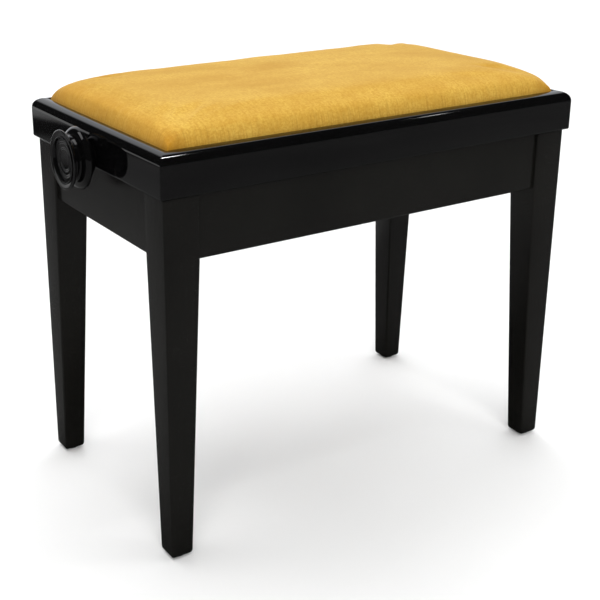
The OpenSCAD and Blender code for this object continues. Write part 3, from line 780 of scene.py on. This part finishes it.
def crease(obj):
    """Moves points up or down by waves along each side, faded by distance from it."""
    co = coordinates(obj)
    to_side = PAD_Y - np.abs(co[:, 1])
    to_end = PAD_X - np.abs(co[:, 0])
    above = np.clip((co[:, 2] - RIM_Z) / (6 * MM), 0, 1)
    fade = lambda d: np.exp(-((np.maximum(d, 0) / (16 * MM)) ** 2))
    along_side = waves(co[:, 0], 3, 14, 9 * MM, 26 * MM)
    along_end = waves(co[:, 1], 4, 14, 9 * MM, 26 * MM)
    pull = along_side * fade(to_side) + along_end * fade(to_end)
    one_way = waves(co[:, 0] + 0.6 * co[:, 1], 5, 6, 60 * MM, 170 * MM)
    other_way = waves(co[:, 1] - 0.3 * co[:, 0], 6, 6, 60 * MM, 150 * MM)
    soft = one_way * other_way
    co[:, 2] += above * (0.16 * MM * pull + 0.20 * MM * soft)
    obj.data.vertices.foreach_set("co", co.ravel())
    obj.data.update()


rounder = pad.modifiers.new("finer", "SUBSURF")
rounder.levels = rounder.render_levels = 1
apply_modifiers(pad)
crease(pad)
pad.data.shade_smooth()
finish_piece(pad, "seat", "gold_velvet", "pad_cover", "pad_foam", material=velvet)

# %% [markdown]
# ## Floor, light and camera
#
# Black lacquer shows only what surrounds it, so the light is designed as a set of things
# to be mirrored. The world is dark except for a glow from above and behind, in the few
# directions that the moulding's upper curve mirrors, which draws the pale line along it.
# A dark card lying on the floor, which only reflections see, keeps the upright faces black
# over a pale floor. A white box that only the camera sees is the backdrop on every side.
# Two broad lights that no reflection sees do the lighting, and a large softbox on the left
# and two small lamps add the glints.

# %% Floor, card and backdrop
def stage_piece(name, points, faces, finish, hidden_from=()):
    """A piece of the studio. hidden_from names the kinds of ray that pass through it."""
    mesh = bpy.data.meshes.new(name)
    mesh.from_pydata(points, [], faces)
    mesh.materials.append(finish.material)
    obj = bpy.data.objects.new(name, mesh)
    bpy.context.scene.collection.objects.link(obj)
    for ray in hidden_from:
        setattr(obj, "visible_" + ray, False)


def square(half, z):
    return [(-half, -half, z), (half, -half, z), (half, half, z), (-half, half, z)]


def floor_paper():
    finish = Finish("floor_paper", Roughness=0.9, Specular_IOR_Level=0.1)
    tone = finish.band(finish.noise(finish.place, 3.0, 2.0, 0.5), 0.3, 0.7)
    finish.feed("Base Color", finish.mix(tone, (0.86, 0.86, 0.855), (0.885, 0.885, 0.88)))
    return finish


def dark_card():
    """Dark grey, paler far behind the bench, painted black under it as the bench's shadow seen in
    reflections, and black in a strip behind it.
    """
    finish = Finish("dark_card", Roughness=0.9, Specular_IOR_Level=0.0)
    pale, black = (0.80, 0.80, 0.80), (0.012, 0.012, 0.012)
    cloud = finish.band(finish.noise(finish.place, 1.2, 2.0, 0.5), 0.35, 0.65)
    x, y, _ = finish.axes()
    behind = finish.band(x, -0.40, 0.0) * finish.band(y, 0.5, 0.9)
    beyond = finish.band(y, 1.8, 2.5, 0.0, 0.5)
    tone = finish.mix(cloud, (0.095, 0.095, 0.095), (0.13, 0.13, 0.127))
    tone = finish.mix(behind, tone, pale)
    shade = finish.band(y, 1.40, 1.62) * finish.band(y, 1.90, 2.05, 1.0, 0.0)
    # painted shadow: under the bench the card is painted black, standing in for the bench's shadow in what
    # the lacquer mirrors
    under = finish.band(x.size(), 0.24, 0.34, 1.0, 0.0) * finish.band(y.size(), 0.12, 0.24, 1.0, 0.0)
    tone = finish.mix(beyond, tone, pale)
    finish.feed("Base Color", finish.mix(finish.band(shade + under, 0.0, 1.0), tone, black))
    return finish


def backdrop_white():
    finish = Finish("backdrop_white", Roughness=1.0, Specular_IOR_Level=0.0, Emission_Strength=1.0)
    tone = finish.band(finish.noise(finish.place, 0.1, 1.0, 0.5), 0.3, 0.7)
    finish.feed("Base Color", finish.mix(tone, (0.02, 0.02, 0.02), (0.03, 0.03, 0.03)))
    finish.feed("Emission Color", finish.mix(tone, (1.0, 1.0, 1.0), (0.99, 0.99, 0.99)))
    return finish


stage_piece("floor", square(9, 0), [(0, 1, 2, 3)], floor_paper())
stage_piece("mirror_floor", square(9, 0.0004), [(0, 1, 2, 3)], dark_card(), ("camera", "diffuse", "shadow"))
FAR = (-30, 30)
box_corners = [(x, y, z) for x in FAR for y in FAR for z in FAR]
box_sides = [(0, 2, 3, 1), (4, 5, 7, 6), (0, 1, 5, 4), (2, 6, 7, 3), (0, 4, 6, 2), (1, 3, 7, 5)]
not_camera = ("diffuse", "glossy", "shadow")
stage_piece("white_backdrop", box_corners, box_sides, backdrop_white(), not_camera)

# %% World
world = bpy.data.worlds.new("studio")
bpy.context.scene.world = world
world.use_nodes = True
sky = world.node_tree
direction = Finish.node(sky, "ShaderNodeTexCoord", {}, {}, "Generated")
GLOW_BANDS = ((0, -0.22, -0.10, 0, 1), (1, 0.10, 0.3, 0, 1), (2, 0.84, 0.90, 1, 0))
glow = 1.0
for axis, low, high, start, end in GLOW_BANDS:
    part = Finish.node(sky, "ShaderNodeSeparateXYZ", {}, {0: direction}, axis)
    band = {0: part, 1: low, 2: high, 3: start, 4: end}
    glow = glow * Finish.node(sky, "ShaderNodeMapRange", {"clamp": True}, band)
colours = {0: glow, 6: (0.02, 0.02, 0.02, 1), 7: (0.98, 1.0, 1.04, 1)}
tint = Finish.node(sky, "ShaderNodeMix", {"data_type": "RGBA"}, colours, 2)
background = sky.nodes["Background"]
sky.links.new(tint.socket, background.inputs["Color"])
background.inputs["Strength"].default_value = 1.0


# %% Lights
def softbox(name, place, target, width, height, power):
    """An area light at place that faces target and shows in the lacquer."""
    light = bpy.data.lights.new(name, "AREA")
    light.shape, light.size, light.size_y, light.energy = "RECTANGLE", width, height, power
    obj = bpy.data.objects.new(name, light)
    aim = np.array(target, float) - np.array(place, float)
    z = -aim / np.linalg.norm(aim)
    x = np.cross([0, 0, 1.0], z)
    x /= np.linalg.norm(x)
    turn = np.eye(4)
    turn[:3, 0], turn[:3, 1], turn[:3, 2], turn[:3, 3] = x, np.cross(z, x), z, place
    obj.matrix_world = Matrix(turn.tolist())
    bpy.context.scene.collection.objects.link(obj)


def broad_light(name, energy, spread, tilt):
    """A wide soft light that shiny surfaces do not show."""
    data = bpy.data.lights.new(name, "SUN")
    data.energy, data.angle = energy, np.radians(spread)
    light = bpy.data.objects.new(name, data)
    light.rotation_euler = tuple(np.radians(tilt))
    light.visible_glossy = False
    bpy.context.scene.collection.objects.link(light)


broad_light("broad_sky", 2.7, 75, (-14, 10, 0))
broad_light("front_fill", 2.3, 50, (60, 0, -28))
softbox("left_card", (-1.05, 0.42, 1.75), (-0.30, 0.0, 0.42), 0.9, 0.7, 4.0)
softbox("lamp", (0.62, -0.66, 2.15), (-0.28, -0.16, 0.45), 0.10, 0.08, 2.4)
softbox("lamp_right", (1.33, -0.57, 1.88), (0.05, -0.16, 0.45), 0.10, 0.05, 0.3)

# %% Camera
CAMERA_PLACE = np.array([-777.8, -1103.0, 739.2]) * MM
YAW, PITCH, ROLL = np.radians([32.047, -19.389, -0.153])
LENS_MM = 68.994
SHIFT = (0.09633, -0.08667)
forward = np.array([np.sin(YAW) * np.cos(PITCH), np.cos(YAW) * np.cos(PITCH), np.sin(PITCH)])
right = np.cross(forward, [0, 0, 1.0])
right /= np.linalg.norm(right)
up = np.cross(right, forward)
right, up = np.cos(ROLL) * right + np.sin(ROLL) * up, np.cos(ROLL) * up - np.sin(ROLL) * right
camera_data = bpy.data.cameras.new("camera")
camera_data.sensor_width = 36
camera_data.lens = LENS_MM
camera_data.shift_x, camera_data.shift_y = SHIFT
camera = bpy.data.objects.new("camera", camera_data)
pose = np.eye(4)
pose[:3, 0], pose[:3, 1], pose[:3, 2], pose[:3, 3] = right, up, -forward, CAMERA_PLACE
camera.matrix_world = Matrix(pose.tolist())
bpy.context.scene.collection.objects.link(camera)
bpy.context.scene.camera = camera
bpy.context.scene.view_settings.view_transform = "Standard"
print("lens", round(camera_data.lens, 1), "mm")
